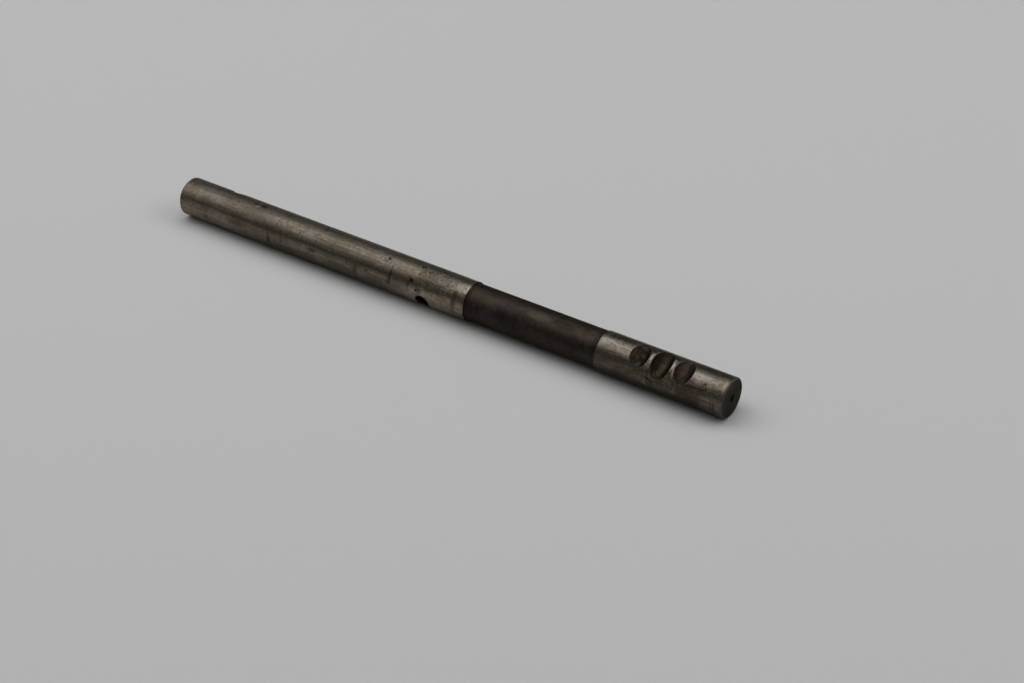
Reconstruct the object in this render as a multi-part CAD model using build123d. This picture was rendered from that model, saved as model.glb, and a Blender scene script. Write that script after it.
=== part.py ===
from build123d import *
from math import radians, tan
import os

# Selector rail of a manual gearbox: one turned and ground steel bar. It lies on its side on z = 0,
# with X along the bar, the detent end at +X and the middle of its length at x = 0.
# Sizes are in millimetres. Roll angles, in degrees, turn from straight up towards -Y.

# Bar
bar_diameter = 16.0
bar_length = 256.5
rear_chamfer = 0.8
front_chamfer = 0.6

# Waist: turned under size, so that only the journals on either side of it bear
waist_diameter = 15.2
waist_length = 58.9
front_journal_length = 54.2
shoulder_break = 0.12
shoulder_root_radius = 0.2

# Detent notches: scoops milled across the bar. The middle one, neutral, is deeper and tighter.
detent_roll = 26.0
neutral_from_front = 27.6
detent_pitch = 9.25
detent_cutter_diameter = 10.0
detent_depth = 1.7
neutral_cutter_diameter = 8.6
neutral_depth = 2.5

# Interlock notch: one more scoop of the detent cutter near the rear end, square to the detents
interlock_from_rear = 22.6
interlock_depth = 2.0

# Hole for the roll pin that holds the selector fork, square to the detents
pin_hole_diameter = 6.0
pin_hole_behind_waist = 19.8
pin_hole_break = 0.2

# Centre holes that the bar was ground between: a cone with a pilot that ends in a drill point
centre_mouth_diameter = 3.0
centre_cone_angle = 60.0
centre_pilot_diameter = 2.0
centre_pilot_length = 2.0
drill_point_angle = 118.0

# Rims of the notches are stoned to a fine round edge
notch_rim_radius = 0.12

bar_radius = bar_diameter / 2
waist_radius = waist_diameter / 2
front_x = bar_length / 2
rear_x = -front_x
waist_front_x = front_x - front_journal_length
waist_rear_x = waist_front_x - waist_length
pin_hole_x = waist_rear_x - pin_hole_behind_waist
neutral_x = front_x - neutral_from_front
interlock_x = rear_x + interlock_from_rear


def turned(points):
    # Solid turned about the bar's axis from half of its section
    section = Plane.XZ * make_face(Polyline(*points, close=True))
    return revolve(section, Axis.X)


def turned_bar():
    # The bar with its waist and end chamfers, round all over
    bar = turned(
        [
            (rear_x, 0),
            (rear_x, bar_radius - rear_chamfer),
            (rear_x + rear_chamfer, bar_radius),
            (waist_rear_x - shoulder_break, bar_radius),
            (waist_rear_x, bar_radius - shoulder_break),
            (waist_rear_x, waist_radius),
            (waist_front_x, waist_radius),
            (waist_front_x, bar_radius - shoulder_break),
            (waist_front_x + shoulder_break, bar_radius),
            (front_x - front_chamfer, bar_radius),
            (front_x, bar_radius - front_chamfer),
            (front_x, 0),
        ]
    )
    waist_ends = bar.edges().filter_by(GeomType.CIRCLE).filter_by(lambda edge: at_radius(edge, waist_radius))
    return fillet(waist_ends, shoulder_root_radius)


def at_radius(edge, radius):
    return abs(edge.radius - radius) < 1e-6


def centre_hole(face_x, inward):
    # inward is +1 where the bar lies on the +X side of the face, and -1 on the other
    mouth = centre_mouth_diameter / 2
    pilot = centre_pilot_diameter / 2
    cone_end = face_x + inward * (mouth - pilot) / tan(radians(centre_cone_angle / 2))
    pilot_end = cone_end + inward * centre_pilot_length
    tip = pilot_end + inward * pilot / tan(radians(drill_point_angle / 2))
    return turned([(face_x, 0), (face_x, mouth), (cone_end, pilot), (pilot_end, pilot), (tip, 0)])


def across_bar(x, roll):
    # Frame on the bar's axis at x, with Z leaving the axis at the roll angle
    return Location((x, 0, 0)) * Rot(X=roll)


def scoop(x, roll, cutter_diameter, depth):
    # Cutter that lies square across the bar and sinks to the depth below its surface
    cutter_height = bar_radius - depth + cutter_diameter / 2
    cutter = Rot(X=90) * Cylinder(cutter_diameter / 2, 2 * bar_diameter)
    return across_bar(x, roll) * Pos(0, 0, cutter_height) * cutter


def cut_notches(bar):
    # Each notch has its rim rounded as it is cut
    notches = [
        scoop(neutral_x - detent_pitch, detent_roll, detent_cutter_diameter, detent_depth),
        scoop(neutral_x, detent_roll, neutral_cutter_diameter, neutral_depth),
        scoop(neutral_x + detent_pitch, detent_roll, detent_cutter_diameter, detent_depth),
        scoop(interlock_x, detent_roll - 90, detent_cutter_diameter, interlock_depth),
    ]
    for notch in notches:
        cut = bar - notch
        bar = fillet(new_edges(bar, notch, combined=cut), notch_rim_radius)
    return bar


def cut_pin_hole(bar):
    # Drilled right through, with both mouths broken
    drill = across_bar(pin_hole_x, detent_roll + 90) * Cylinder(pin_hole_diameter / 2, 2 * bar_diameter)
    cut = bar - drill
    return chamfer(new_edges(bar, drill, combined=cut), pin_hole_break)


rail = turned_bar()
rail = rail - centre_hole(rear_x, 1) - centre_hole(front_x, -1)
rail = cut_notches(rail)
rail = cut_pin_hole(rail)
rail = Pos(0, 0, bar_radius) * rail

os.makedirs("parts", exist_ok=True)
export_step(rail, "parts/selector_rail.step")
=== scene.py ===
import bpy
from math import cos, hypot, pi, radians, sin, tan
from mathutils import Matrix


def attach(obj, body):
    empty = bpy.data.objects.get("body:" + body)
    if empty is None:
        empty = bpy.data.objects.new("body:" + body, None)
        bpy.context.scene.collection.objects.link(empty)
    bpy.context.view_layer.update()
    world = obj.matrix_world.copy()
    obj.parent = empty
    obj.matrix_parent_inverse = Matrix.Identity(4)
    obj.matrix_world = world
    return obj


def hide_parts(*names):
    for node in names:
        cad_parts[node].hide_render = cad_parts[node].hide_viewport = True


# Selector rail of a gearbox: a turned and ground steel bar with milled detent notches, lying on its side.
# The bar's sizes are in millimetres, and the studio's in metres. X runs along the bar. Roll is the angle
# round it, in degrees from straight up towards -Y.

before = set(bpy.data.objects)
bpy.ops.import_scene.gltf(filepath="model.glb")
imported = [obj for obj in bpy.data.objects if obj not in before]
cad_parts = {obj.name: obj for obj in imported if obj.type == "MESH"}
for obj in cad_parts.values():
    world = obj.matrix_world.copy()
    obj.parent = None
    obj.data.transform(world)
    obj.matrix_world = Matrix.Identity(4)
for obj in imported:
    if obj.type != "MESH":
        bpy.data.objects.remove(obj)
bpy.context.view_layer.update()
mm = 0.001
print("frame loaded")


# Nodes, for shader trees and for Geometry Nodes alike. Sockets know which tree they are in.
def treeOf(*values):
    return next(value.id_data for value in values if isinstance(value, bpy.types.NodeSocket))


def feed(socket, value):
    if isinstance(value, bpy.types.NodeSocket):
        socket.id_data.links.new(value, socket)
    else:
        socket.default_value = value


def addNode(tree, kind, inputs=None, **settings):
    node = tree.nodes.new(kind)
    for name, value in settings.items():
        setattr(node, name, value)
    for name, value in (inputs or {}).items():
        feed(node.inputs[name], value)
    return node


def calc(operation, *values, clamp=False):
    node = addNode(treeOf(*values), "ShaderNodeMath", dict(enumerate(values)), operation=operation,
                   use_clamp=clamp)
    return node.outputs[0]


def plus(a, b):
    return calc("ADD", a, b)


def minus(a, b):
    return calc("SUBTRACT", a, b)


def times(a, b):
    return calc("MULTIPLY", a, b)


def timesPlus(a, b, c):
    return calc("MULTIPLY_ADD", a, b, c)


def vectorCalc(operation, *values):
    node = addNode(treeOf(*values), "ShaderNodeVectorMath", dict(enumerate(values)), operation=operation)
    return node.outputs["Value" if operation in ("LENGTH", "DISTANCE") else "Vector"]


def vectorOf(x, y, z=0.0):
    return addNode(treeOf(x, y, z), "ShaderNodeCombineXYZ", {"X": x, "Y": y, "Z": z}).outputs["Vector"]


def split(vector):
    return addNode(vector.id_data, "ShaderNodeSeparateXYZ", {"Vector": vector}).outputs


def scaled(vector, factor):
    tree = treeOf(vector, factor)
    node = addNode(tree, "ShaderNodeVectorMath", {0: vector, "Scale": factor}, operation="SCALE")
    return node.outputs["Vector"]


def length(a, b):
    return calc("SQRT", plus(times(a, a), times(b, b)))


def ramp(value, empty, full, top=1.0, kind="SMOOTHSTEP"):
    # 0 at empty and top at full, whichever of the two is larger
    inputs = {"Value": value, "From Min": empty, "From Max": full, "To Max": top}
    return addNode(value.id_data, "ShaderNodeMapRange", inputs, interpolation_type=kind).outputs["Result"]


def mix(kind, share, a, b):
    # The node has sockets for every kind of data: these are the two inputs and the output of each
    first, second, mixed = {"FLOAT": (2, 3, 0), "RGBA": (6, 7, 2)}[kind]
    inputs = {0: share, first: a, second: b}
    return addNode(share.id_data, "ShaderNodeMix", inputs, data_type=kind).outputs[mixed]


def mixColour(share, a, b):
    return mix("RGBA", share, a, b)


def mixValue(share, a, b):
    return mix("FLOAT", share, a, b)


def most(masks):
    total = masks[0]
    for mask in masks[1:]:
        total = calc("MAXIMUM", total, mask)
    return total


def newGroup(name, kind, inputs, outputs):
    # Inputs are name: default, or name: socket type; outputs are name: socket type
    tree = bpy.data.node_groups.new(name, kind)
    for socketName, value in inputs.items():
        if isinstance(value, str):
            tree.interface.new_socket(socketName, in_out="INPUT", socket_type="NodeSocket" + value)
        else:
            socket = tree.interface.new_socket(socketName, in_out="INPUT", socket_type="NodeSocketFloat")
            socket.default_value = value
    for socketName, socketType in outputs.items():
        tree.interface.new_socket(socketName, in_out="OUTPUT", socket_type="NodeSocket" + socketType)
    return tree, tree.nodes.new("NodeGroupInput").outputs, tree.nodes.new("NodeGroupOutput").inputs


def onGeometry(kind, geometry, inputs=None, **settings):
    inputs = {"Geometry": geometry, **(inputs or {})}
    return addNode(geometry.id_data, "GeometryNode" + kind, inputs, **settings).outputs["Geometry"]


def useGroup(tree, group, inputs):
    kind = "GeometryNodeGroup" if tree.type == "GEOMETRY" else "ShaderNodeGroup"
    return addNode(tree, kind, inputs, node_tree=group).outputs


def addObject(name, data):
    made = bpy.data.objects.new(name, data)
    bpy.context.scene.collection.objects.link(made)
    return made


view = {
    "place": (0.38089, -0.52866, 0.44744),
    "turn": (54.5, 0.0, 33.37),
    "lens": 70.65,
    "sensor": 36.0,
    "nearest": 0.01,
}


def makeCamera():
    camera = addObject("camera", bpy.data.cameras.new("camera"))
    camera.location = view["place"]
    camera.rotation_euler = [radians(angle) for angle in view["turn"]]
    camera.data.lens = view["lens"]
    camera.data.sensor_width = view["sensor"]
    camera.data.clip_start = view["nearest"]
    bpy.context.scene.camera = camera


studio = {
    "floorRings": (0.6, 1.4, 2.6),
    "floorFacets": 96,
    "coveRadius": 0.5,
    "coveSteps": 12,
    "coveHeight": 0.25,
    "floorColour": (0.57, 0.57, 0.57, 1),
    "floorRoughness": 0.9,
    "roomColour": (0.085, 0.085, 0.085, 1),
    "lampHeight": 1.6,
    "lampTurn": 29.0,
    # Softboxes side by side overhead: place along and across, length, width and radiance
    "lamps": {
        "mainLamp": (-0.9, 0.0, 3.4, 0.7, 2.28),
        "frontLamp": (-0.9, -0.78, 3.4, 0.5, 1.7),
        "backLamp": (-0.9, 0.8, 3.4, 0.7, 0.6),
        "sideLamp": (-1.1, -1.55, 3.4, 0.7, 0.32),
        "farLamp": (-2.1, 1.9, 1.8, 1.0, 0.5),
        "endLamp": (1.9, 0.9, 1.8, 1.8, 2.2),
    },
}


def floorOutline():
    # Distance from the middle and height: flat, and then swept up into a low cove
    floorRadius, coveRadius = studio["floorRings"][-1], studio["coveRadius"]
    outline = [(ring, 0.0) for ring in studio["floorRings"]]
    for step in range(1, studio["coveSteps"] + 1):
        turn = radians(90 * step / studio["coveSteps"])
        outline.append((floorRadius + coveRadius * sin(turn), coveRadius * (1 - cos(turn))))
    outline.append((floorRadius + coveRadius, coveRadius + studio["coveHeight"]))
    return outline


def makeFloor():
    # Round, so that it is pale from every side
    outline, facets = floorOutline(), studio["floorFacets"]
    points = [(0.0, 0.0, 0.0)]
    for distance, height in outline:
        for i in range(facets):
            turn = 2 * pi * i / facets
            points.append((distance * cos(turn), distance * sin(turn), height))
    faces = []
    for i in range(facets):
        j = (i + 1) % facets
        faces.append((0, 1 + i, 1 + j))
        for ring in range(len(outline) - 1):
            inner = 1 + ring * facets
            outer = inner + facets
            faces.append((inner + i, outer + i, outer + j, inner + j))
    mesh = bpy.data.meshes.new("studioFloor")
    mesh.from_pydata(points, [], faces)
    mesh.shade_smooth()
    floor = addObject("studioFloor", mesh)
    material = bpy.data.materials.new("paleFloor")
    material.use_nodes = True
    shader = material.node_tree.nodes["Principled BSDF"]
    shader.inputs["Base Color"].default_value = studio["floorColour"]
    shader.inputs["Roughness"].default_value = studio["floorRoughness"]
    shader.inputs["Specular IOR Level"].default_value = 0.0
    mesh.materials.append(material)


def makeLight():
    world = bpy.data.worlds.new("studioRoom")
    world.use_nodes = True
    world.node_tree.nodes["Background"].inputs["Color"].default_value = studio["roomColour"]
    bpy.context.scene.world = world
    for name, (along, across, size, width, radiance) in studio["lamps"].items():
        lamp = addObject(name, bpy.data.lights.new(name, "AREA"))
        lamp.data.shape = "RECTANGLE"
        lamp.data.size, lamp.data.size_y = size, width
        lamp.data.energy = radiance * pi * size * width
        lamp.location = (along, across, studio["lampHeight"])
        lamp.rotation_euler.z = radians(studio["lampTurn"])


bar = {
    "diameter": 16.0,
    "length": 256.5,
    "rearChamfer": 0.8,
    "frontChamfer": 0.6,
    "waistDiameter": 15.2,
    "waistLength": 58.9,
    "frontJournal": 54.2,
    "shoulderBreak": 0.12,
    "centreMouth": 3.0,
    "centreAngle": 60.0,
    "centrePilot": 2.0,
    "centrePilotLength": 2.0,
    "drillPointAngle": 118.0,
    "facets": 200,
    "holeFacets": 96,
    # Corners: their rounding, how many roundings away a ring holds them crisp, and the share of a short
    # side that each may take
    "edgeRounding": 0.05,
    "roundingShare": 0.3,
    "holdRoundings": 4,
    "holdShare": 0.45,
    # Rings on stretches longer than longStretch: their spacing, finer from one place to another, and the
    # gap in spacings that may be left at the end of a stretch
    "longStretch": 2.0,
    "plainSpacing": 1.5,
    "fineSpacing": [
        (-110.6, -100.7, 0.25), (-94.5, -85.5, 0.4), (-26, -0.4, 0.28), (85.4, 115.5, 0.21),
        (117.5, 121.5, 0.3)],
    "endGap": 1.4,
    # The drill's length in radii of the bar, and how close the points on a seam are to be joined
    "drillRadii": 3.0,
    "mergeWithin": 0.001,
    # Zones: how far off its limit a face still counts, and how far in the zone of the end faces reaches
    "slack": 0.02,
    "endDepth": 1.0,
}
degreesPerMm = 180 / (pi * bar["diameter"] / 2)

# Notches and hole: places along the bar and sizes in mm, the roll in degrees
cuts = {
    "Detent Roll": 26.0,
    "Neutral Along": 100.65,
    "Detent Pitch": 9.25,
    "Detent Cutter": 10.0,
    "Detent Depth": 1.7,
    "Neutral Cutter": 8.6,
    "Neutral Depth": 2.5,
    "Interlock Along": -105.65,
    "Interlock Depth": 2.0,
    "Rim Rounding": 0.12,
    "Pin Hole Along": -4.65,
    "Pin Hole Diameter": 6.0,
    "Pin Hole Break": 0.2,
}

# Corrosion pits: place along the bar, roll, reach and depth
pits = [
    (-92.4, 1, 0.7, 0.05), (-91.6, -4, 0.5, 0.05), (-88.6, -3, 0.8, 0.07), (-87.8, 0, 0.7, 0.08),
    (-31, 75, 0.4, 0.08), (-24.8, 23, 0.55, 0.045), (-24.1, 30, 0.55, 0.04), (-23.3, 28, 0.5, 0.04),
    (-23.2, 17, 0.7, 0.06), (-22.6, 20, 0.6, 0.055), (-21.7, 32, 0.3, 0.03), (-10.9, 71, 0.6, 0.04),
    (-9.8, 57, 0.9, 0.1), (-8.3, 5, 0.6, 0.06), (-7.4, -2, 0.6, 0.08), (-7.3, 32, 0.5, 0.04),
    (-7.3, 80, 0.7, 0.06), (-5.6, 74, 0.5, 0.05), (-3.9, 17, 0.42, 0.09), (-3.2, 44, 0.3, 0.06),
    (-2, 22, 0.35, 0.06), (-1, 27, 0.35, 0.06), (0.8, 12, 0.3, 0.06), (2.6, 30, 0.3, 0.05),
    (4.1, 20, 0.35, 0.06), (4.9, 8, 0.4, 0.07), (8.2, 34, 0.35, 0.07), (13.4, 23, 0.3, 0.06),
    (14, 43, 0.3, 0.06), (91.2, 71, 0.4, 0.06), (95.8, 60, 0.35, 0.05), (96, 34, 0.25, 0.05),
    (96.3, 14, 0.25, 0.05), (96.4, 79, 0.35, 0.05), (97.2, 81, 0.5, 0.07), (98.2, 84, 0.4, 0.06),
    (98.9, 88, 0.45, 0.07), (105, 46, 0.4, 0.06), (106, 26, 0.25, 0.05), (119.4, 57, 0.3, 0.06),
    (119.6, 41, 0.42, 0.12), (120.7, 55, 0.4, 0.1)]


def waistEnds():
    front = bar["length"] / 2 - bar["frontJournal"]
    return front - bar["waistLength"], front


def centreHoleOutline():
    # Distance in from the end face and radius, from the drill point to the mouth
    mouth, pilot = bar["centreMouth"] / 2, bar["centrePilot"] / 2
    coneDepth = (mouth - pilot) / tan(radians(bar["centreAngle"] / 2))
    pilotEnd = coneDepth + bar["centrePilotLength"]
    tip = pilotEnd + pilot / tan(radians(bar["drillPointAngle"] / 2))
    return [(tip, 0.0), (pilotEnd, pilot), (coneDepth, pilot), (0.0, mouth)]


def barOutline():
    # Corners of the turned shape, as places along the bar and radii, from one drill point to the other
    end, radius, waist = bar["length"] / 2, bar["diameter"] / 2, bar["waistDiameter"] / 2
    waistRear, waistFront = waistEnds()
    lip = bar["shoulderBreak"]
    hole = centreHoleOutline()
    corners = [(-end + depth, r) for depth, r in hole]
    corners += [(-end, radius - bar["rearChamfer"]), (-end + bar["rearChamfer"], radius)]
    corners += [(waistRear - lip, radius), (waistRear, radius - lip), (waistRear, waist)]
    corners += [(waistFront, waist), (waistFront, radius - lip), (waistFront + lip, radius)]
    corners += [(end - bar["frontChamfer"], radius), (end, radius - bar["frontChamfer"])]
    corners += [(end - depth, r) for depth, r in reversed(hole)]
    return corners


def towards(a, b, distance):
    share = distance / hypot(b[0] - a[0], b[1] - a[1])
    return (a[0] + (b[0] - a[0]) * share, a[1] + (b[1] - a[1]) * share)


def roundedOutline(corners):
    # Each corner is cut by a small bevel, with a ring close on either side of it, so that it shades crisply
    rounding = bar["edgeRounding"]
    points = [corners[0]]
    for before, corner, after in zip(corners, corners[1:], corners[2:]):
        for side in (before, after):
            reach = hypot(side[0] - corner[0], side[1] - corner[1])
            cut = towards(corner, side, min(rounding, bar["roundingShare"] * reach))
            hold = towards(corner, side, min(bar["holdRoundings"] * rounding, bar["holdShare"] * reach))
            points += [hold, cut] if side is before else [cut, hold]
    points.append(corners[-1])
    return points


def ringSpacing(along):
    for start, stop, spacing in bar["fineSpacing"]:
        if start <= along < stop:
            return spacing
    return bar["plainSpacing"]


def spacedOutline(points):
    # A long cylinder gets rings as close as its finest detail needs
    spaced = [points[0]]
    for a, b in zip(points, points[1:]):
        if abs(b[0] - a[0]) > bar["longStretch"]:
            along = a[0]
            while along + bar["endGap"] * ringSpacing(along) < b[0]:
                step = ringSpacing(along)
                starts = [row[0] for row in bar["fineSpacing"] if along < row[0] < along + step]
                along = min(starts) if starts else along + step
                spaced.append((along, a[1]))
        spaced.append(b)
    return spaced


def milledScoopGroup():
    # The radius left when a cutter lying square across the bar has sunk to its depth. Where the roll is so
    # far off that the cutter can't reach, Least Tilt keeps its floor far outside the bar.
    tree, given, out = newGroup(
        "milledScoop", "GeometryNodeTree",
        {"Along": 0.0, "Roll": 0.0, "Radius": 0.0, "Scoop Along": 0.0, "Scoop Roll": 0.0, "Cutter": 0.01,
         "Depth": 0.001, "Bar Radius": 0.008, "Rim Rounding": 0.0001, "Least Tilt": 0.05},
        {"Radius": "Float"})
    cutterRadius = times(given["Cutter"], 0.5)
    cutterHeight = minus(plus(given["Bar Radius"], cutterRadius), given["Depth"])
    aside = minus(given["Along"], given["Scoop Along"])
    under = minus(calc("POWER", cutterRadius, 2.0), times(aside, aside))
    floorHeight = minus(cutterHeight, calc("SQRT", calc("MAXIMUM", under, 0.0)))
    tilt = calc("COSINE", minus(given["Roll"], given["Scoop Roll"]))
    cut = calc("DIVIDE", floorHeight, calc("MAXIMUM", tilt, given["Least Tilt"]))
    feed(out["Radius"], calc("SMOOTH_MIN", given["Radius"], cut, given["Rim Rounding"]))
    return tree


def onBar(given, along, roll, radius):
    across = times(radius, times(calc("SINE", roll), -1.0))
    above = times(radius, calc("COSINE", roll))
    return vectorOf(along, across, plus(given["Bar Radius"], above))


def pitDepth(tree, given, along, roll, radius):
    # How far the nearest pit has eaten in. Noise makes its edge ragged.
    point = onBar(given, along, roll, radius)
    places = addNode(tree, "GeometryNodeObjectInfo", {"Object": given["Pits"]}).outputs["Geometry"]
    nearest = addNode(tree, "GeometryNodeSampleNearest", {"Geometry": places, "Sample Position": point})
    position = addNode(tree, "GeometryNodeInputPosition").outputs["Position"]
    wanted = {"place": (position, "FLOAT_VECTOR")}
    for name in ("reach", "depth"):
        attribute = addNode(tree, "GeometryNodeInputNamedAttribute", {"Name": name}).outputs["Attribute"]
        wanted[name] = (attribute, "FLOAT")
    found = {}
    for name, (value, kind) in wanted.items():
        sample = addNode(tree, "GeometryNodeSampleIndex",
                         {"Geometry": places, "Value": value, "Index": nearest.outputs["Index"]},
                         data_type=kind)
        found[name] = sample.outputs["Value"]
    apart = vectorCalc("DISTANCE", point, found["place"])
    noise = addNode(tree, "ShaderNodeTexNoise",
                    {"Vector": point, "Scale": given["Pit Grain"], "Detail": 1.0})
    ragged = timesPlus(minus(noise.outputs["Fac"], 0.5), given["Pit Raggedness"],
                       calc("DIVIDE", apart, found["reach"]))
    return ramp(ragged, 1.0, given["Pit Floor"], found["depth"])


def gridOnOutline(tree, given):
    # A flat grid with a row for each point of the outline, then the place, roll and radius of its points
    rings = addNode(tree, "GeometryNodeAttributeDomainSize", {"Geometry": given["Outline"]})
    rings = rings.outputs["Point Count"]
    lastRing = minus(rings, 1.0)
    grid = addNode(tree, "GeometryNodeMeshGrid",
                   {"Size X": given["Facets"], "Size Y": lastRing,
                    "Vertices X": plus(given["Facets"], 1.0), "Vertices Y": rings})
    position = addNode(tree, "GeometryNodeInputPosition").outputs["Position"]
    cell = split(position)
    column = plus(cell["X"], times(given["Facets"], 0.5))
    ring = calc("ROUND", plus(cell["Y"], times(lastRing, 0.5)))
    outlinePoint = addNode(tree, "GeometryNodeSampleIndex",
                           {"Geometry": given["Outline"], "Value": position, "Index": ring},
                           data_type="FLOAT_VECTOR")
    turned = split(outlinePoint.outputs["Value"])
    roll = calc("DIVIDE", times(column, 2 * pi), given["Facets"])
    return grid.outputs["Mesh"], turned["X"], roll, turned["Z"]


def milledRadius(tree, given, along, roll, radius, detentRoll, squareRoll):
    # Three detent notches side by side, and the interlock notch square to them
    milledScoop = milledScoopGroup()
    neutral, pitch = given["Neutral Along"], given["Detent Pitch"]
    scoops = [("Detent", "Detent", minus(neutral, pitch), detentRoll),
              ("Neutral", "Neutral", neutral, detentRoll),
              ("Detent", "Detent", plus(neutral, pitch), detentRoll),
              ("Detent", "Interlock", given["Interlock Along"], squareRoll)]
    for cutter, depth, scoopAlong, scoopRoll in scoops:
        radius = useGroup(tree, milledScoop, {
            "Along": along, "Roll": roll, "Radius": radius, "Scoop Along": scoopAlong,
            "Scoop Roll": scoopRoll, "Cutter": given[cutter + " Cutter"], "Depth": given[depth + " Depth"],
            "Bar Radius": given["Bar Radius"], "Rim Rounding": given["Rim Rounding"]})["Radius"]
    return radius


def brokenMouths(given, along, roll, radius, squareRoll, holeRadius):
    # The surface dips in round both mouths of the pin hole
    across = times(radius, calc("SINE", minus(roll, squareRoll)))
    fromHole = length(across, minus(along, given["Pin Hole Along"]))
    breakRadius = plus(holeRadius, given["Pin Hole Break"])
    dip = ramp(fromHole, breakRadius, holeRadius, given["Pin Hole Break"], "LINEAR")
    return minus(radius, dip)


def drilled(tree, given, solid, squareRoll, holeRadius):
    drill = addNode(tree, "GeometryNodeMeshCylinder",
                    {"Vertices": bar["holeFacets"], "Radius": holeRadius,
                     "Depth": times(given["Bar Radius"], bar["drillRadii"])})
    drill = onGeometry("Transform", drill.outputs["Mesh"],
                       {"Translation": vectorOf(given["Pin Hole Along"], 0.0, given["Bar Radius"]),
                        "Rotation": vectorOf(squareRoll, 0.0)})
    cut = addNode(tree, "GeometryNodeMeshBoolean", {"Mesh 1": solid}, operation="DIFFERENCE",
                  solver="MANIFOLD")
    feed(cut.inputs["Mesh 2"], drill)
    return cut.outputs["Mesh"]


def zones(tree, given, squareRoll, holeRadius):
    # Where a face lies: its distance from the hole's axis, and which finish it gets
    slack = bar["slack"] * mm
    spot = split(addNode(tree, "GeometryNodeInputPosition").outputs["Position"])
    up = minus(spot["Z"], given["Bar Radius"])
    fromAxis = length(spot["Y"], up)
    across = plus(times(spot["Y"], calc("COSINE", squareRoll)), times(up, calc("SINE", squareRoll)))
    fromBore = length(across, minus(spot["X"], given["Pin Hole Along"]))
    fromMiddle = calc("ABSOLUTE", spot["X"])
    inCentreHole = times(calc("GREATER_THAN", fromMiddle, given["Bar Radius"]),
                         calc("LESS_THAN", fromAxis, given["Centre Hole"]))
    onEndFace = times(calc("GREATER_THAN", fromMiddle, given["End Zone"]),
                      calc("LESS_THAN", fromAxis, minus(given["Bar Radius"], slack)))
    onWaist = times(calc("GREATER_THAN", spot["X"], given["Waist Rear"]),
                    calc("LESS_THAN", spot["X"], given["Waist Front"]))
    return fromBore, {"Waist": onWaist, "Ends": calc("MAXIMUM", onEndFace, inCentreHole),
                      "Bore": calc("LESS_THAN", fromBore, plus(holeRadius, slack))}


def turnedBarTree():
    # Revolves the outline, mills the scoops, drills the pin hole and gives each zone its finish
    tree, given, out = newGroup(
        "turnedAndMilledBar", "GeometryNodeTree",
        {"Outline": "Geometry", "Pits": "Object", "Facets": "Int", "Bar Radius": 0.008,
         **{name: 0.0 for name in cuts}, "Pit Raggedness": 1.0, "Pit Grain": 1800.0, "Pit Floor": 0.45,
         "Waist Rear": 0.0, "Waist Front": 0.0, "End Zone": 0.0, "Centre Hole": 0.0, "Sharp Angle": 0.5,
         "Ground": "Material", "Waist": "Material", "Ends": "Material", "Bore": "Material"},
        {"Bar": "Geometry"})
    detentRoll = calc("RADIANS", given["Detent Roll"])
    squareRoll = minus(detentRoll, pi / 2)
    holeRadius = times(given["Pin Hole Diameter"], 0.5)

    grid, along, roll, radius = gridOnOutline(tree, given)
    radius = milledRadius(tree, given, along, roll, radius, detentRoll, squareRoll)
    radius = brokenMouths(given, along, roll, radius, squareRoll, holeRadius)
    radius = minus(radius, pitDepth(tree, given, along, roll, radius))
    solid = onGeometry("SetPosition", grid, {"Position": onBar(given, along, roll, radius)})
    solid = onGeometry("MergeByDistance", solid, {"Distance": bar["mergeWithin"] * mm})
    solid = drilled(tree, given, solid, squareRoll, holeRadius)

    # Smooth all over, but for the mouths of the hole
    fromBore, selections = zones(tree, given, squareRoll, holeRadius)
    bend = addNode(tree, "GeometryNodeInputMeshEdgeAngle").outputs["Unsigned Angle"]
    atMouth = times(calc("COMPARE", fromBore, holeRadius, bar["slack"] * mm),
                    calc("GREATER_THAN", bend, given["Sharp Angle"]))
    solid = onGeometry("SetShadeSmooth", solid)
    solid = onGeometry("SetShadeSmooth", solid, {"Selection": atMouth, "Shade Smooth": False}, domain="EDGE")
    solid = onGeometry("RealizeInstances", solid)
    for finish, selection in {"Ground": True, **selections}.items():
        solid = onGeometry("SetMaterial", solid, {"Selection": selection, "Material": given[finish]})
    feed(out["Bar"], solid)
    return tree


def pitPoints():
    # A point on the bar for each pit, which carries its reach and depth
    radius = bar["diameter"] / 2
    points = [(along * mm, -radius * sin(radians(roll)) * mm, (radius + radius * cos(radians(roll))) * mm)
              for along, roll, reach, depth in pits]
    mesh = bpy.data.meshes.new("pitPlaces")
    mesh.from_pydata(points, [], [])
    for name, values in (("reach", [row[2] * mm for row in pits]), ("depth", [row[3] * mm for row in pits])):
        mesh.attributes.new(name, "FLOAT", "POINT").data.foreach_set("value", values)
    return addObject("pitPlaces", mesh)


def outlineWire():
    outline = spacedOutline(roundedOutline(barOutline()))
    mesh = bpy.data.meshes.new("railOutline")
    mesh.from_pydata([(along * mm, 0.0, radius * mm) for along, radius in outline],
                     [(i, i + 1) for i in range(len(outline) - 1)], [])
    return addObject("railOutline", mesh)


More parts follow.
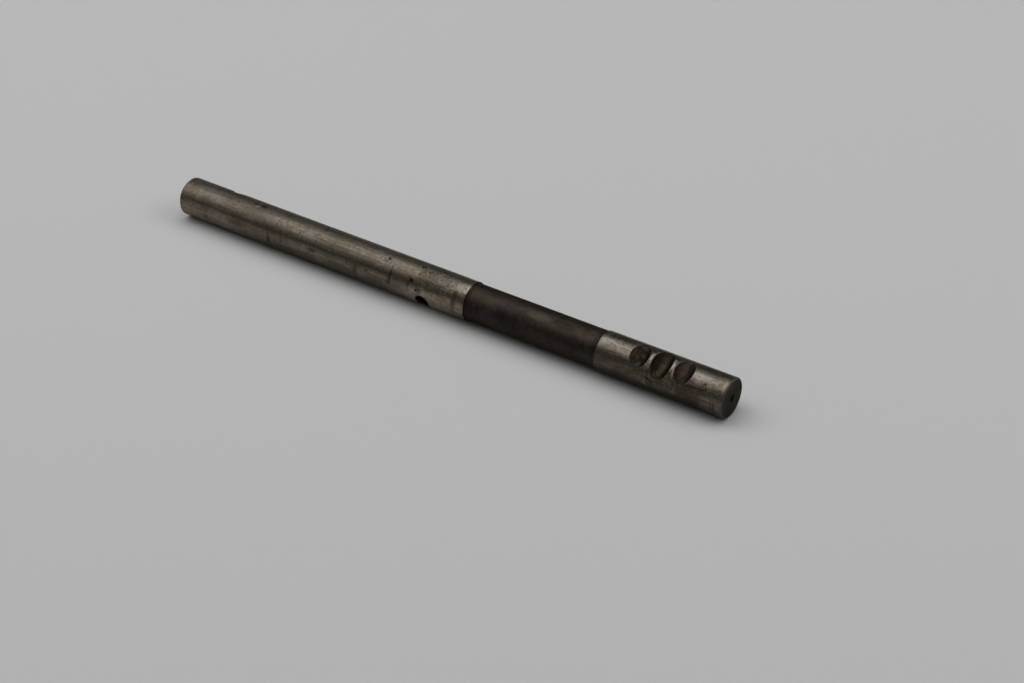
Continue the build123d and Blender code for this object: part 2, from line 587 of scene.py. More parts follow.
def makeRail(finishes):
    source, pitPlaces = outlineWire(), pitPoints()
    waistRear, waistFront = waistEnds()
    sizes = {**cuts, "Bar Radius": bar["diameter"] / 2, "Waist Rear": waistRear, "Waist Front": waistFront,
             "End Zone": bar["length"] / 2 - bar["endDepth"],
             "Centre Hole": bar["centreMouth"] / 2 + bar["slack"]}
    values = {name: value * mm for name, value in sizes.items()}
    values.update({"Detent Roll": cuts["Detent Roll"], "Facets": bar["facets"], "Pits": pitPlaces})
    values.update(finishes)
    turning = source.modifiers.new("turning", "NODES")
    turning.node_group = turnedBarTree()
    for socket in turning.node_group.interface.items_tree:
        if socket.in_out == "INPUT" and socket.name in values:
            turning[socket.identifier] = values[socket.name]
    made = source.evaluated_get(bpy.context.evaluated_depsgraph_get())
    rail = addObject("selectorRail", bpy.data.meshes.new_from_object(made))
    rail.data.name = "selectorRail"
    bpy.data.objects.remove(source)
    bpy.data.objects.remove(pitPlaces)
    print(f"rail turned and milled: {len(rail.data.vertices)} points, {len(rail.data.polygons)} faces, "
          f"{len(finishes)} finishes")
    return rail


# Shader groups that the finishes share
def barPlaceGroup():
    # Where a point lies. Bar: mm along and mm round. End: mm across and up from the axis. Roll is in
    # degrees, and Radius in mm from the axis. Wander, in mm, makes edges ragged.
    tree, given, out = newGroup(
        "barPlace", "ShaderNodeTree", {"Wander": 0.0, "Wander Scale": 1000.0},
        {"Bar": "Vector", "End": "Vector", "Along": "Float", "Roll": "Float", "Radius": "Float"})
    coordinate = addNode(tree, "ShaderNodeTexCoord").outputs["Object"]
    noise = addNode(tree, "ShaderNodeTexNoise",
                    {"Vector": coordinate, "Scale": given["Wander Scale"], "Detail": 4.0, "Roughness": 0.65})
    centredNoise = vectorCalc("SUBTRACT", noise.outputs["Color"], (0.5, 0.5, 0.5))
    wander = split(scaled(centredNoise, given["Wander"]))
    centred = vectorCalc("SUBTRACT", coordinate, (0.0, 0.0, bar["diameter"] / 2 * mm))
    point = split(scaled(centred, 1 / mm))
    turned = calc("DEGREES", calc("ARCTAN2", times(point["Y"], -1.0), point["Z"]))
    along = plus(point["X"], wander["X"])
    roll = timesPlus(wander["Y"], degreesPerMm, turned)
    feed(out["Along"], along)
    feed(out["Roll"], roll)
    feed(out["Radius"], length(point["Y"], point["Z"]))
    feed(out["Bar"], vectorOf(along, calc("DIVIDE", roll, degreesPerMm)))
    feed(out["End"], vectorOf(plus(point["Y"], wander["X"]), plus(point["Z"], wander["Y"])))
    return tree


def stainGroup():
    # A soft oval round Centre
    tree, given, out = newGroup(
        "stain", "ShaderNodeTree",
        {"Place": "Vector", "Centre": "Vector", "Half Size": "Vector", "Feather": 0.45}, {"Mask": "Float"})
    aside = vectorCalc("SUBTRACT", given["Place"], given["Centre"])
    reach = vectorCalc("LENGTH", vectorCalc("DIVIDE", aside, given["Half Size"]))
    feed(out["Mask"], ramp(reach, plus(1.0, given["Feather"]), minus(1.0, given["Feather"])))
    return tree


def streakGroup():
    # Noise drawn out along the bar or round it: scales are per metre, Contrast spreads it about 0.5
    tree, given, out = newGroup(
        "streaks", "ShaderNodeTree",
        {"Along Scale": 100.0, "Around Scale": 100.0, "Detail": 3.0, "Grain": 0.6, "Contrast": 1.0,
         "Seed": 0.0}, {"Value": "Float"})
    coordinate = addNode(tree, "ShaderNodeTexCoord").outputs["Object"]
    scales = vectorOf(given["Along Scale"], given["Around Scale"], given["Around Scale"])
    moved = vectorCalc("ADD", vectorCalc("MULTIPLY", coordinate, scales),
                       vectorOf(given["Seed"], given["Seed"], given["Seed"]))
    noise = addNode(tree, "ShaderNodeTexNoise",
                    {"Vector": moved, "Scale": 1.0, "Detail": given["Detail"], "Roughness": given["Grain"]})
    centred = minus(noise.outputs["Fac"], 0.5)
    feed(out["Value"], calc("MULTIPLY_ADD", centred, given["Contrast"], 0.5, clamp=True))
    return tree


def pittingGroup():
    # Small pits in a share of the cells of a pattern. Size is a part of a cell, Scale is cells per metre,
    # and a pit is at full depth over the Floor share of its size.
    tree, given, out = newGroup(
        "pitting", "ShaderNodeTree",
        {"Scale": 1200.0, "Share": 0.3, "Size": 0.4, "Floor": 0.4, "Seed": 0.0, "Wander": 0.0004,
         "Wander Scale": 2500.0}, {"Mask": "Float"})
    coordinate = addNode(tree, "ShaderNodeTexCoord").outputs["Object"]
    noise = addNode(tree, "ShaderNodeTexNoise",
                    {"Vector": coordinate, "Scale": given["Wander Scale"], "Detail": 1.0})
    moved = vectorCalc("ADD", scaled(noise.outputs["Color"], given["Wander"]), coordinate)
    seeded = vectorCalc("ADD", moved, vectorOf(given["Seed"], given["Seed"], given["Seed"]))
    cells = addNode(tree, "ShaderNodeTexVoronoi", {"Vector": seeded, "Scale": given["Scale"]})
    chosen = calc("LESS_THAN", split(cells.outputs["Color"])["X"], given["Share"])
    eaten = ramp(cells.outputs["Distance"], given["Size"], times(given["Size"], given["Floor"]))
    feed(out["Mask"], times(eaten, chosen))
    return tree


groups = {"barPlace": barPlaceGroup(), "stain": stainGroup(), "streaks": streakGroup(),
          "pitting": pittingGroup()}
print("shader groups made")


def noises(tree, rows):
    # Rows by name: scale along, scale round, detail, contrast, seed and grain
    made = {}
    for name, (along, around, detail, contrast, seed, grain) in rows.items():
        made[name] = useGroup(tree, groups["streaks"], {
            "Along Scale": along, "Around Scale": around, "Detail": detail, "Contrast": contrast,
            "Seed": seed, "Grain": grain})["Value"]
    return made


def vary(tone, value, amount):
    # Tone times 1 - amount to 1 + amount, as value goes from 0 to 1
    centred = timesPlus(value, 2.0, -1.0)
    return times(tone, timesPlus(centred, amount, 1.0))


def curves(value, rows):
    # Up to three results that change with a value, from rows of the value and each result
    start, stop = rows[0][0], rows[-1][0]
    node = addNode(value.id_data, "ShaderNodeValToRGB")
    node.color_ramp.interpolation = "LINEAR"
    stops = node.color_ramp.elements
    while len(stops) < len(rows):
        stops.new(0.5)
    for element, row in zip(stops, rows):
        element.position = (row[0] - start) / (stop - start)
        element.color = (tuple(row[1:]) + (0.0, 0.0))[:3] + (1.0,)
    feed(node.inputs["Fac"], calc("DIVIDE", minus(value, start), stop - start))
    results = addNode(value.id_data, "ShaderNodeSeparateColor", {"Color": node.outputs["Color"]}).outputs
    return [results["Red"], results["Green"], results["Blue"]]


def stains(spot, rows, feather, side="Bar"):
    # Rows on the bar: along, roll, half length, half width, strength. On an end: across, up and the same.
    perTurn = degreesPerMm if side == "Bar" else 1.0
    masks = []
    for x, y, halfLength, halfWidth, strength in rows:
        mask = useGroup(spot[side].id_data, groups["stain"],
                        {"Place": spot[side], "Centre": (x, y / perTurn, 0.0),
                         "Half Size": (halfLength, halfWidth, 1.0), "Feather": feather})["Mask"]
        masks.append(times(mask, strength))
    return most(masks)


def stained(colour, spot, rows, feather, side="Bar"):
    for name, places in rows.items():
        colour = mixColour(stains(spot, places, feather, side), colour, stainColours[name])
    return colour


def newMaterial(name, look):
    # The edge colour is what the steel tends to where it is seen at a slant
    material = bpy.data.materials.new(name)
    material.use_nodes = True
    tree = material.node_tree
    shader = tree.nodes["Principled BSDF"]
    shader.inputs["Metallic"].default_value = look["metal"]
    shader.inputs["Specular IOR Level"].default_value = look["gloss"]
    shader.inputs["Specular Tint"].default_value = look["edgeColour"]
    return material, tree, shader


def finishSurface(shader, look, colour, roughness, height):
    feed(shader.inputs["Base Color"], colour)
    feed(shader.inputs["Roughness"], roughness)
    bump = addNode(height.id_data, "ShaderNodeBump",
                   {"Strength": look["bumpStrength"], "Distance": look["bumpDepth"] * mm, "Height": height})
    feed(shader.inputs["Normal"], bump.outputs["Normal"])


stainColours = {
    "bare": (0.24, 0.22, 0.19, 1),
    "brown": (0.052, 0.041, 0.027, 1),
    "rust": (0.1, 0.05, 0.036, 1),
    "olive": (0.05, 0.044, 0.022, 1),
    # rubbed: lighter patches in the scoops, and on the waist a painted sheen where it mirrors the lamps
    "rubbed": (0.085, 0.072, 0.056, 1),
    "tan": (0.058, 0.038, 0.026, 1),
    "moss": (0.034, 0.04, 0.024, 1),
    "plum": (0.05, 0.034, 0.036, 1),
    "violet": (0.074, 0.044, 0.056, 1),
    # sootAndShade: soot on the waist and ends; in the scoops it is painted shade
    "sootAndShade": (0.012, 0.01, 0.008, 1),
    "sunk": (0.03, 0.024, 0.016, 1),
}

# Ground surface of the journals, under a thin brown film that is thick in places and rubbed off in others
groundSteel = {
    "colour": (0.150, 0.131, 0.107),
    "edgeColour": (0.92, 0.90, 0.83, 1),
    "filmColour": (0.088, 0.072, 0.050),
    # Painted shade: the colour laid on the underside where it mirrors the shadowed floor
    "underShadeColour": (0.026, 0.023, 0.018, 1),
    # Olive patches on the top edge: partly stain, partly painted shade that darkens the top edge
    "crownStainAndShadeColour": (0.046, 0.044, 0.030, 1),
    "warmTint": (1.06, 0.98, 0.95, 1),
    "coolTint": (0.94, 1.02, 1.01, 1),
    "metal": 1.0,
    "gloss": 0.5,
    # Rolls from where each begins to where it is full
    # flankRolls bound the flank's painted reflection and shade, and the underside's rolls its painted shade
    "flankRolls": (63.0, 76.0),
    "crownRolls": (16.0, -4.0),
    "underShadeRolls": (88.0, 116.0),
    "pittingRolls": (74.0, 50.0),
    # How much the tone changes, and how unevenly the film lies
    "patchiness": 0.1,
    "ringMarks": 0.08,
    "filmStrength": 0.7,
    "filmMottle": 1.0,
    "filmPatches": 0.8,
    # Pits by the hundred, thicker where the steel has corroded, with thin winding tracks between them
    "pitShare": 0.3,
    "pitPatches": 1.4,
    "finePitShare": 1.2,
    "coarsePits": {"Scale": 720.0, "Size": 0.5},
    "finePits": {"Scale": 1500.0, "Size": 0.55, "Seed": 5.0},
    "coarsePitting": 0.5,
    "finePitting": 0.7,
    "tracking": 0.45,
    "trackWidth": 0.025,
    "trackedPitting": (0.25, 0.5),
    # Roughness: rises with the mottle from just under its row, falls on the crown's patches, and tends to
    # the cover's under film, sunk marks, pits and the painted shade low on the flank
    "roughnessDrop": 0.06,
    "roughnessMottle": 0.1,
    "crownPolish": 0.1,
    "filmCover": 0.3,
    "coverRoughness": 0.55,
    "grindHeight": 0.2,
    "mottleHeight": 0.6,
    "pitHeight": 2.0,
    "bumpStrength": 0.7,
    "bumpDepth": 0.02,
    "feather": 0.45,
    "ragged": {"Wander": 1.5, "Wander Scale": 800.0},
    "noises": {
        "grind": (1150, 70, 4, 3.6, 0, 0.6),
        "rub": (50, 1300, 3, 2.8, 3, 0.6),
        "mottle": (520, 700, 6, 3.2, 7, 0.78),
        "patches": (90, 120, 4, 3, 13, 0.6),
        "rings": (420, 25, 4, 2.4, 21, 0.6),
        "hue": (260, 300, 3, 4, 41, 0.6),
        "winding": (500, 500, 2, 1, 61, 0.6),
        "crown": (420, 1100, 5, 6, 71, 0.75),
    },
    # Along the bar: tone halved, roughness, pitting
    "wear": [
        (-128.3, 0.49, 0.43, 0.05), (-100, 0.38, 0.44, 0.08), (-85, 0.45, 0.41, 0.08),
        (-62, 0.47, 0.39, 0.08), (-40, 0.47, 0.39, 0.08), (-20, 0.47, 0.38, 0.08), (-16, 0.47, 0.38, 0.05),
        (-9, 0.45, 0.38, 0.1), (-6, 0.43, 0.45, 0.5), (6, 0.43, 0.45, 0.5), (9, 0.41, 0.39, 0.2),
        (13, 0.39, 0.35, 0.1), (74, 0.47, 0.34, 0.1), (90, 0.45, 0.35, 0.13), (110, 0.44, 0.35, 0.1),
        (128.3, 0.45, 0.35, 0.07)],
    # Along the bar: film, painted shade low on the flank, and tone of the flank halved, which is a painted
    # reflection above 0.5 and painted shade below it
    "cover": [
        (-128.3, 0.3, 0.1, 0.7), (-103, 0.5, 0.3, 0.76), (-86, 0.5, 0.6, 0.57), (-60, 0.45, 0.6, 0.6),
        (-36, 0.5, 0.5, 0.58), (-22, 0.4, 0.3, 0.58), (-16, 0.35, 0.1, 0.56), (-8, 0.3, 0.1, 0.86),
        (0, 0.25, 0.1, 1), (5, 0.25, 0.15, 0.95), (11, 0.3, 0.25, 0.85), (74, 0.35, 0.8, 0.4),
        (110, 0.5, 1, 0.36), (117, 0.5, 1, 0.36), (121, 0.4, 0.5, 0.54), (128.3, 0.4, 0.4, 0.56)],
    # Along the bar: mottle, rubbed lines, dark patches on the crown (olive stain and partly painted shade)
    "texture": [
        (-128.3, 0.15, 0.24, 0.4), (-64, 0.15, 0.26, 0.4), (-60, 0.12, 0.34, 0.45), (-26, 0.12, 0.34, 0.55),
        (-18, 0.1, 0.2, 0.55), (-11, 0.1, 0.16, 0.55), (-6, 0.4, 0.12, 0.55), (8, 0.4, 0.12, 0.55),
        (13, 0.24, 0.2, 0.5), (74, 0.24, 0.26, 0.85), (90, 0.34, 0.28, 0.85), (95, 0.62, 0.3, 0.92),
        (107, 0.62, 0.3, 0.9), (111, 0.34, 0.28, 0.8), (128.3, 0.3, 0.28, 0.66)],
    # Along the bar: grinding lines round it
    "lines": [(-128.3, 0.05), (93, 0.06), (95, 0.4), (107, 0.4), (113, 0.1), (128.3, 0.08)],
    # Stains by colour: place along the bar, roll, half length, half width and strength
    "stains": {
        "bare": [
            (-91, 9, 1.2, 0.4, 0.5), (-66, 30, 1.5, 0.4, 0.3), (-9.5, 4, 0.6, 0.35, 0.4),
            (12, 24, 2.4, 2.2, 0.35), (14.2, 24, 1.3, 2.4, 0.75), (77.5, 21, 3.2, 1.2, 0.35),
            (96, 22, 0.32, 2.4, 0.8), (105.2, 22, 0.32, 2.2, 0.75), (106.2, 48, 0.4, 2.4, 0.5),
            (115.8, 24, 4, 1.4, 0.3), (126.6, 27, 0.6, 2.8, 0.4)],
        "brown": [
            (-113, 60, 8, 0.6, 0.25), (-104, 20, 2.6, 0.8, 0.3), (-98, 80, 4.5, 1.6, 0.35),
            (-88, 36, 3, 0.5, 0.2), (-81, 88, 0.8, 3, 0.45), (-71, 106, 6, 1.4, 0.5),
            # (-62, 63.5) is no stain but a painted dark reflection, a stripe along the band that mirrors the
            # dark room
            (-62, 63.5, 48, 0.6, 0.4), (-62, 104, 5, 1.6, 0.4), (-45, 96, 6, 1.4, 0.35),
            (-36.7, 84, 0.8, 4.5, 0.3), (-28, 96, 4, 2, 0.45), (-23.6, 28, 1.2, 0.7, 0.45),
            (-23, 18, 1, 1.1, 0.55), (-22, 63, 1.6, 0.6, 0.4), (-21.6, 31, 0.6, 0.5, 0.25),
            (-20.6, 86, 1, 0.9, 0.5), (-19.9, 40, 0.5, 1.8, 0.4), (-19.8, 62, 0.65, 3.6, 0.75),
            (-11.3, 72, 0.9, 1.3, 0.45), (-10.9, 48, 0.8, 0.5, 0.4), (-5.9, 78, 1.4, 1, 0.5),
            (-4, 47, 6, 0.5, 0.45), (0.5, 66, 3, 0.6, 0.3), (10.3, 76, 1, 4.6, 0.6),
            (10.8, 50, 0.6, 1.6, 0.6), (77.5, 100, 1.6, 2, 0.4), (84, 104, 3, 2, 0.5), (86, 54, 4, 0.5, 0.4),
            # (95, 62) is likewise a painted dark reflection along that band
            (92, 78, 3.5, 0.8, 0.35), (95, 62, 12, 0.5, 0.35), (99, 94, 4, 1, 0.45), (104, 84, 5, 1, 0.6),
            (111, 80, 3.5, 1.8, 0.6), (118, 88, 5, 0.9, 0.45), (124.5, 100, 0.9, 3, 0.5)],
        "rust": [
            (-113.8, 99, 1, 0.7, 0.85), (-96.8, 82, 2.2, 1.2, 0.3), (-80, 84, 0.5, 2, 0.3),
            (-76.7, 95, 0.5, 1.6, 0.6), (-31, 75, 0.5, 0.5, 0.6), (-6.2, 70, 1.6, 0.7, 0.25),
            (79, 88, 0.8, 2, 0.2), (101.5, 77, 2.2, 0.5, 0.4), (106.6, 79, 1.6, 0.8, 0.45),
            (112, 66, 2, 0.7, 0.2)],
        "olive": [
            (-108.5, 22, 0.8, 0.8, 0.3), (-92.3, 0, 1.3, 1.1, 0.6), (-88.2, -2, 1.8, 1.3, 0.7),
            (-36.8, 100, 1, 3, 0.45), (-20.4, 76, 0.9, 2.2, 0.4), (-10.2, -2, 0.9, 1, 0.5),
            (-7.6, 7, 0.9, 0.8, 0.55), (-7.4, 32, 0.7, 0.6, 0.6), (-0.5, 28, 1.4, 1.6, 0.25),
            (2.5, -4, 3, 0.6, 0.4), (10.9, 46, 1.2, 0.6, 0.5), (84, 108, 4, 2.4, 0.5), (87, 80, 4, 1.6, 0.3),
            (100, 70, 1.5, 0.6, 0.4), (111.8, 94, 3, 2.2, 0.65), (112.5, 60, 3.5, 0.9, 0.4),
            (119.7, 41, 0.7, 0.5, 0.7), (120, -16, 7, 1.2, 0.4)],
    },
    "sunkMarks": [
        (-92.3, 1, 0.9, 0.7, 0.35), (-88.2, -2, 1.3, 0.8, 0.45), (-80.6, 102, 0.7, 2.4, 0.7),
        (-74.3, 84, 0.35, 3.4, 0.5), (-65.8, 42, 0.8, 0.5, 0.4), (-58.5, 77, 1.8, 0.9, 0.5),
        (-56.2, -5, 1, 0.9, 0.6), (-56, 37, 5, 0.25, 0.5), (-47, 38.5, 4, 0.2, 0.4),
        (-36.6, 80, 0.3, 5.5, 0.35), (-23, 18, 0.6, 0.6, 0.35), (-19.8, 61, 0.4, 1.8, 0.45),
        (-19.8, 87, 0.6, 0.7, 0.5), (-10.9, 63, 0.9, 0.4, 0.5), (-10, 54, 0.8, 0.55, 0.85),
        (-9.3, 59, 0.55, 0.7, 0.8), (-8.1, 3, 1.2, 0.8, 0.45), (-6.6, 77, 0.9, 0.6, 0.45),
        (-0.5, 42, 4.5, 0.22, 0.45), (2.4, 45, 3, 0.2, 0.4), (10.1, 48, 0.5, 0.9, 0.6),
        (14.6, 43, 0.7, 0.5, 0.6), (77.9, -6, 0.4, 1.3, 0.7), (80, 46.5, 3.5, 0.28, 0.55),
        (82, -12, 4, 0.5, 0.5), (91, -14, 5, 0.6, 0.5), (91.5, 70, 1, 0.5, 0.5), (95, 76, 0.6, 0.4, 0.4),
        (95.9, 33, 0.35, 0.45, 0.55), (96.4, 6, 0.5, 0.4, 0.4), (97.2, 81, 0.8, 0.5, 0.7),
        (98.9, 88, 0.5, 0.5, 0.7), (105, 47, 0.6, 0.6, 0.6), (105.3, 36, 0.45, 0.5, 0.55),
        (116, 100, 3, 1.2, 0.5), (117.5, 58, 3, 0.35, 0.6), (120.5, -18, 6, 0.9, 0.5),
        (123.3, 100, 0.3, 2.6, 0.6), (124.7, 108, 0.3, 3.4, 0.8)],
}

# Milled scoops, brown from heat treatment and never ground
scoopSteel = {
    "colour": (0.037, 0.0305, 0.0225),
    "roughness": 0.5,
    "rimTone": 0.5,
    "floorTone": 0.49,
    # Depths under the bar's surface over which the brown begins and the rim's tone gives way to the floor's
    "brownDepths": (0.015, 0.06),
    "rimDepths": (0.1, 0.5),
    "mottle": 0.7,
    "patchiness": 0.25,
    "feather": 0.28,
    "stains": {
        "rubbed": [(90, 32, 0.8, 0.9, 0.15), (91.8, 52, 1, 0.8, 0.15), (98.9, 66, 0.35, 1.4, 0.35),
                   (100.9, 34, 0.9, 2, 0.12)],
        "tan": [(88.5, 26, 0.5, 2.6, 0.4), (101.4, 27, 0.9, 1.9, 0.6), (108.9, 20, 1.7, 3.4, 0.4),
                (109.6, -12, 1.2, 1, 0.5)],
        "moss": [(92.6, 24, 0.8, 1, 0.55), (97.9, 26, 0.7, 1.6, 0.4), (112.2, 10, 0.7, 2, 0.4)],
        "olive": [(100, 30, 0.7, 1.8, 0.35), (100.4, 54, 1, 1.9, 0.45), (101.6, 8, 1.2, 0.4, 0.4)],
        "plum": [(91.6, -4, 1.8, 0.8, 0.3), (97.3, 48, 0.5, 1.6, 0.2), (100.9, -4, 1.5, 0.8, 0.35),
                 (108.4, 4, 1.6, 1.8, 0.25)],
        # These darken the scoops' walls by the rims as painted shade, and the left half of the middle notch
        # as a painted shadow
        "sootAndShade": [(88.3, 44, 0.5, 1.4, 0.3), (94.8, 22, 0.6, 3.4, 0.5), (98.1, 26, 1.15, 4.6, 0.75),
                 (100, -12, 2.4, 0.7, 0.5), (103.7, 34, 0.6, 2.8, 0.6), (107, 40, 0.6, 1.6, 0.35),
                 (113, 24, 0.9, 3.8, 0.6)],
    },
}


def groundColour(look, spot, ragged, noise, tint, halfTone):
    # Bare steel, the film over it, dark patches on the crown (olive stain, partly painted shade), stains and
    # painted shade low on the flank, with the masks of three
    film, underShade, halfFlank = curves(spot["Along"], look["cover"])
    mottled, rubbed, crown = curves(spot["Along"], look["texture"])
    lined = curves(spot["Along"], look["lines"])[0]
    # Painted reflection and shade: the lower flank, which mirrors the floor in front, is made lighter along
    # the rear journal and darker along the front one
    flank = mixValue(ramp(ragged["Roll"], *look["flankRolls"]), 1.0, times(halfFlank, 2.0))
    tone = times(times(halfTone, 2.0), flank)
    changes = {"grind": lined, "rub": rubbed, "patches": look["patchiness"], "rings": look["ringMarks"],
               "mottle": mottled}
    for name, amount in changes.items():
        tone = vary(tone, noise[name], amount)
    colour = vectorCalc("MULTIPLY", scaled(look["colour"], tone), tint)

    thins = [timesPlus(noise[name], -amount, amount / 2)
             for name, amount in (("mottle", look["filmMottle"]), ("patches", look["filmPatches"]))]
    film = calc("ADD", film, plus(*thins), clamp=True)
    colour = mixColour(times(film, look["filmStrength"]), colour, scaled(look["filmColour"], flank))
    # Olive patches on the crown: partly real stain, partly painted shade on the top edge
    crownStainAndShade = times(ramp(ragged["Roll"], *look["crownRolls"]), times(crown, noise["crown"]))
    colour = mixColour(crownStainAndShade, colour, look["crownStainAndShadeColour"])
    colour = stained(colour, ragged, look["stains"], look["feather"])
    # Painted shade: the underside, which mirrors the shadowed floor beside the bar, is darkened, most along
    # the front journal
    underShade = times(ramp(ragged["Roll"], *look["underShadeRolls"]), underShade)
    colour = mixColour(underShade, colour, look["underShadeColour"])
    return colour, film, crownStainAndShade, underShade


def groundPits(tree, look, ragged, noise, pitting):
    pitting = times(pitting, ramp(ragged["Roll"], *look["pittingRolls"]))
    share = times(pitting, timesPlus(noise["patches"], look["pitPatches"], look["pitShare"]))
    coarse = useGroup(tree, groups["pitting"], {**look["coarsePits"], "Share": share})["Mask"]
    fineShare = times(share, look["finePitShare"])
    fine = useGroup(tree, groups["pitting"], {**look["finePits"], "Share": fineShare})["Mask"]
    fromTrack = calc("ABSOLUTE", minus(noise["winding"], 0.5))
    tracks = times(ramp(fromTrack, look["trackWidth"], 0.0), ramp(pitting, *look["trackedPitting"]))
    return most([times(coarse, look["coarsePitting"]), times(fine, look["finePitting"]),
                 times(tracks, look["tracking"])])


def scoopColour(look, spot, ragged, noise, tint):
    # The brown of the scoops, and how far it has taken over from the ground surface
    rims = [bar["diameter"] / 2 - depth for depth in look["rimDepths"]]
    deep = mixValue(ramp(spot["Radius"], *rims), look["rimTone"], look["floorTone"])
    tone = vary(deep, noise["mottle"], look["mottle"])
    tone = vary(tone, noise["patches"], look["patchiness"])
    colour = vectorCalc("MULTIPLY", scaled(look["colour"], tone), tint)
    edges = [bar["diameter"] / 2 - depth for depth in look["brownDepths"]]
    sunk = ramp(spot["Radius"], *edges)
    return stained(colour, ragged, look["stains"], look["feather"]), sunk


def makeGround():
    look = groundSteel
    material, tree, shader = newMaterial("groundSteel", look)
    spot = useGroup(tree, groups["barPlace"], {})
    ragged = useGroup(tree, groups["barPlace"], look["ragged"])
    noise = noises(tree, look["noises"])
    tint = mixColour(noise["hue"], look["warmTint"], look["coolTint"])
    halfTone, roughness, pitting = curves(spot["Along"], look["wear"])
    colour, film, crownStainAndShade, underShade = groundColour(look, spot, ragged, noise, tint, halfTone)
    eaten = groundPits(tree, look, ragged, noise, pitting)
    dark = most([stains(ragged, look["sunkMarks"], look["feather"]), eaten])
    colour = mixColour(dark, colour, stainColours["sunk"])
    inScoop, sunk = scoopColour(scoopSteel, spot, ragged, noise, tint)
    colour = mixColour(sunk, colour, inScoop)

    covered = most([times(film, look["filmCover"]), dark, underShade])
    worn = timesPlus(noise["mottle"], look["roughnessMottle"], minus(roughness, look["roughnessDrop"]))
    worn = timesPlus(crownStainAndShade, -look["crownPolish"], worn)
    roughness = mixValue(sunk, mixValue(covered, worn, look["coverRoughness"]), scoopSteel["roughness"])
    height = plus(times(noise["grind"], look["grindHeight"]), times(noise["mottle"], look["mottleHeight"]))
    height = minus(height, times(eaten, look["pitHeight"]))
    finishSurface(shader, look, colour, roughness, height)
    return material


# Waist, ends and bore: turned or drilled, left brown and never ground. What they share comes first, and each
# look may have its own instead.
brownSteel = {
    "metal": 1.0,
    "gloss": 0.5,
    "side": "Bar",
    "roughness": 0.5,
    "roughnessMottle": 0.12,
    "turningMarks": 0.12,
    "warmTint": (1.06, 0.98, 1.0, 1),
    "coolTint": (0.95, 1.02, 0.96, 1),
    "bumpStrength": 0.8,
    "bumpDepth": 0.03,
    "feather": 0.45,
    "ragged": {"Wander": 2.0, "Wander Scale": 600.0},
    "noises": {
        "turning": (2200, 80, 3, 2, 11, 0.6),
        "mottle": (480, 640, 7, 3.4, 5, 0.82),
        "patches": (90, 120, 3, 3, 31, 0.6),
        "hue": (190, 220, 3, 4, 43, 0.6),
    },
}

waistLook = {
    "colour": (0.0365, 0.0305, 0.0240),
    "edgeColour": (0.62, 0.58, 0.51, 1),
    "mottle": 0.40,
    "patchiness": 0.22,
    "stains": {
        # The rubbed ovals on the waist lie in the band that mirrors the lamps and lighten it: a painted
        # sheen
        "rubbed": [(26, 24, 4, 1.6, 0.1), (39, 18, 1.8, 0.7, 0.2), (43, 12, 2.2, 0.9, 0.3),
                   (46.5, 21, 5, 2.2, 0.42), (50.2, 24, 2, 1.4, 0.22)],
        "tan": [(18.5, 18, 2.6, 3, 0.35), (34, 8, 3, 1.4, 0.3), (62, 22, 6, 1.2, 0.2)],
        "plum": [
            (28, 84, 5, 2.4, 0.25), (33, 22, 3, 1.6, 0.35), (42, 2, 4, 1.4, 0.4), (52, 70, 7, 2.4, 0.3)],
        "olive": [(24.5, 36, 4.5, 1.4, 0.3), (30, -4, 5, 0.8, 0.3), (36.3, 35, 0.8, 0.6, 0.6),
                  (57, 40, 6, 1.6, 0.35), (61, -6, 6, 0.8, 0.3)],
        "sootAndShade": [
            (16, 40, 0.8, 6, 0.4), (19, -8, 2, 1, 0.5), (26, -6, 2, 0.5, 0.4), (31, -4, 1.5, 0.4, 0.4),
            (33.4, 26, 1, 0.8, 0.35), (36.3, 35, 0.45, 0.4, 0.7), (36.5, -8, 2, 0.6, 0.4),
            (45.5, -6, 2.4, 0.6, 0.4), (55.8, 0, 1.6, 0.5, 0.4), (58, 24, 4.5, 1.8, 0.5),
            (64, -6, 2, 0.6, 0.4), (68, 20, 3, 1.6, 0.3), (72.8, 40, 1, 6, 0.4)],
    },
}

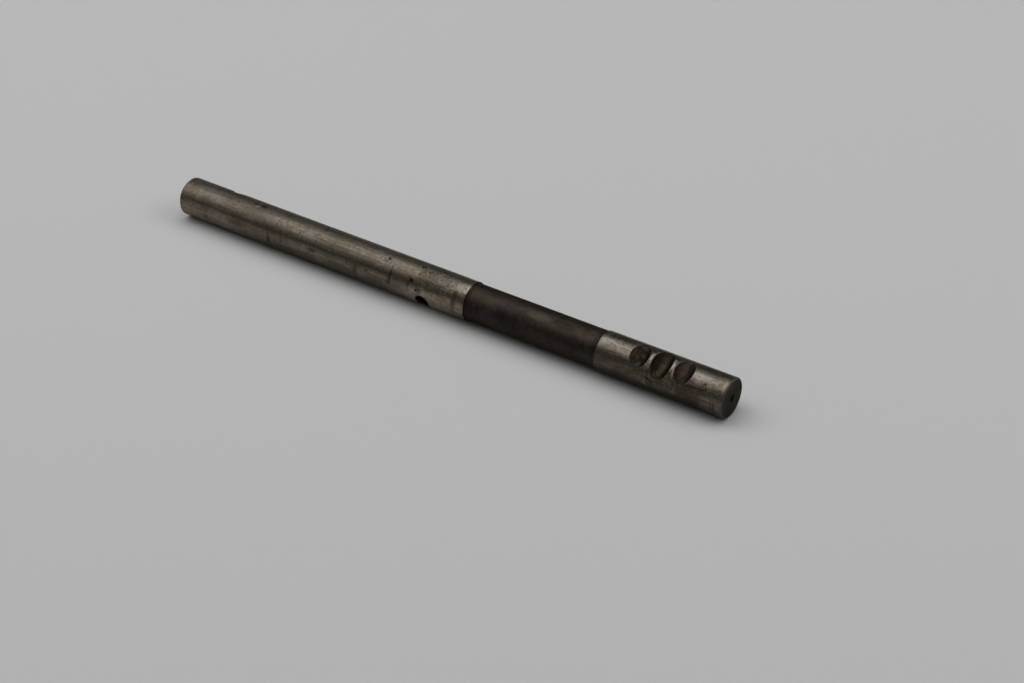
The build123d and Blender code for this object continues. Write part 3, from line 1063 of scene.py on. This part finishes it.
endLook = {
    "colour": (0.036, 0.033, 0.0285),
    "edgeColour": (0.67, 0.65, 0.62, 1),
    "metal": 0.4,
    "gloss": 0.0,
    "mottle": 0.2,
    "patchiness": 0.15,
    "side": "End",
    # Rings by radius: their tone as a share of brightest, which is a multiple of the colour
    "brightest": 4.0,
    # The dark rings within 1.48 mm, in the centre hole, are painted shade; the light rings from 7.42 mm, on
    # the chamfer, are a painted highlight
    "rings": [(0, 0.0875), (1.48, 0.0875), (1.56, 0.225), (4, 0.225), (6, 0.2375), (6.6, 0.2625), (7, 0.25),
              (7.2, 0.1375), (7.35, 0.15), (7.42, 0.55), (8, 0.7)],
    "stains": {
        "violet": [(-5, 1, 1.2, 2.4, 0.3), (-3.4, 4.2, 1.4, 0.8, 0.3), (-0.6, 5.4, 2.2, 0.9, 0.7)],
        "moss": [(-6.6, -1.6, 0.9, 2, 0.5), (2.2, -2.6, 1.4, 2.2, 0.9), (4.2, 2.6, 1, 2.4, 0.6)],
        "sootAndShade": [(-2.8, -4.8, 1.2, 0.6, 0.3), (2.6, 6, 1, 0.5, 0.4), (3.4, -5.4, 1.6, 0.6, 0.3),
                 (5.8, 2.6, 0.5, 2.6, 0.5)],
    },
}

boreLook = {
    "colour": (0.056, 0.047, 0.034),
    "edgeColour": (0.7, 0.65, 0.55, 1),
    "mottle": 0.5,
    "patchiness": 0.3,
    "stains": {
        "moss": [(-6, 116, 2, 6, 0.7)],
    },
}


def makeBrown(name, look):
    look = {**brownSteel, **look}
    material, tree, shader = newMaterial(name, look)
    ragged = useGroup(tree, groups["barPlace"], look["ragged"])
    noise = noises(tree, look["noises"])
    tone = 1.0
    # On the ends the rings paint shade into the centre hole and a highlight onto the chamfer
    if "rings" in look:
        tone = times(look["brightest"], curves(ragged["Radius"], look["rings"])[0])
    changes = {"mottle": look["mottle"], "turning": look["turningMarks"], "patches": look["patchiness"]}
    for noiseName, amount in changes.items():
        tone = vary(tone, noise[noiseName], amount)
    tint = mixColour(noise["hue"], look["warmTint"], look["coolTint"])
    colour = vectorCalc("MULTIPLY", scaled(look["colour"], tone), tint)
    colour = stained(colour, ragged, look["stains"], look["feather"], look["side"])
    roughness = timesPlus(noise["mottle"], look["roughnessMottle"],
                          look["roughness"] - look["roughnessMottle"] / 2)
    height = plus(noise["turning"], noise["mottle"])
    finishSurface(shader, look, colour, roughness, height)
    return material


makeCamera()
makeFloor()
makeLight()
print("camera, floor and lamps set")
finishes = {"Ground": makeGround(), "Waist": makeBrown("waistSteel", waistLook),
            "Ends": makeBrown("facedEnds", endLook), "Bore": makeBrown("boreWall", boreLook)}
print("finishes mixed")
rail = makeRail(finishes)
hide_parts("selector_rail")
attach(rail, "root")

bpy.context.scene.view_settings.view_transform = "Standard"
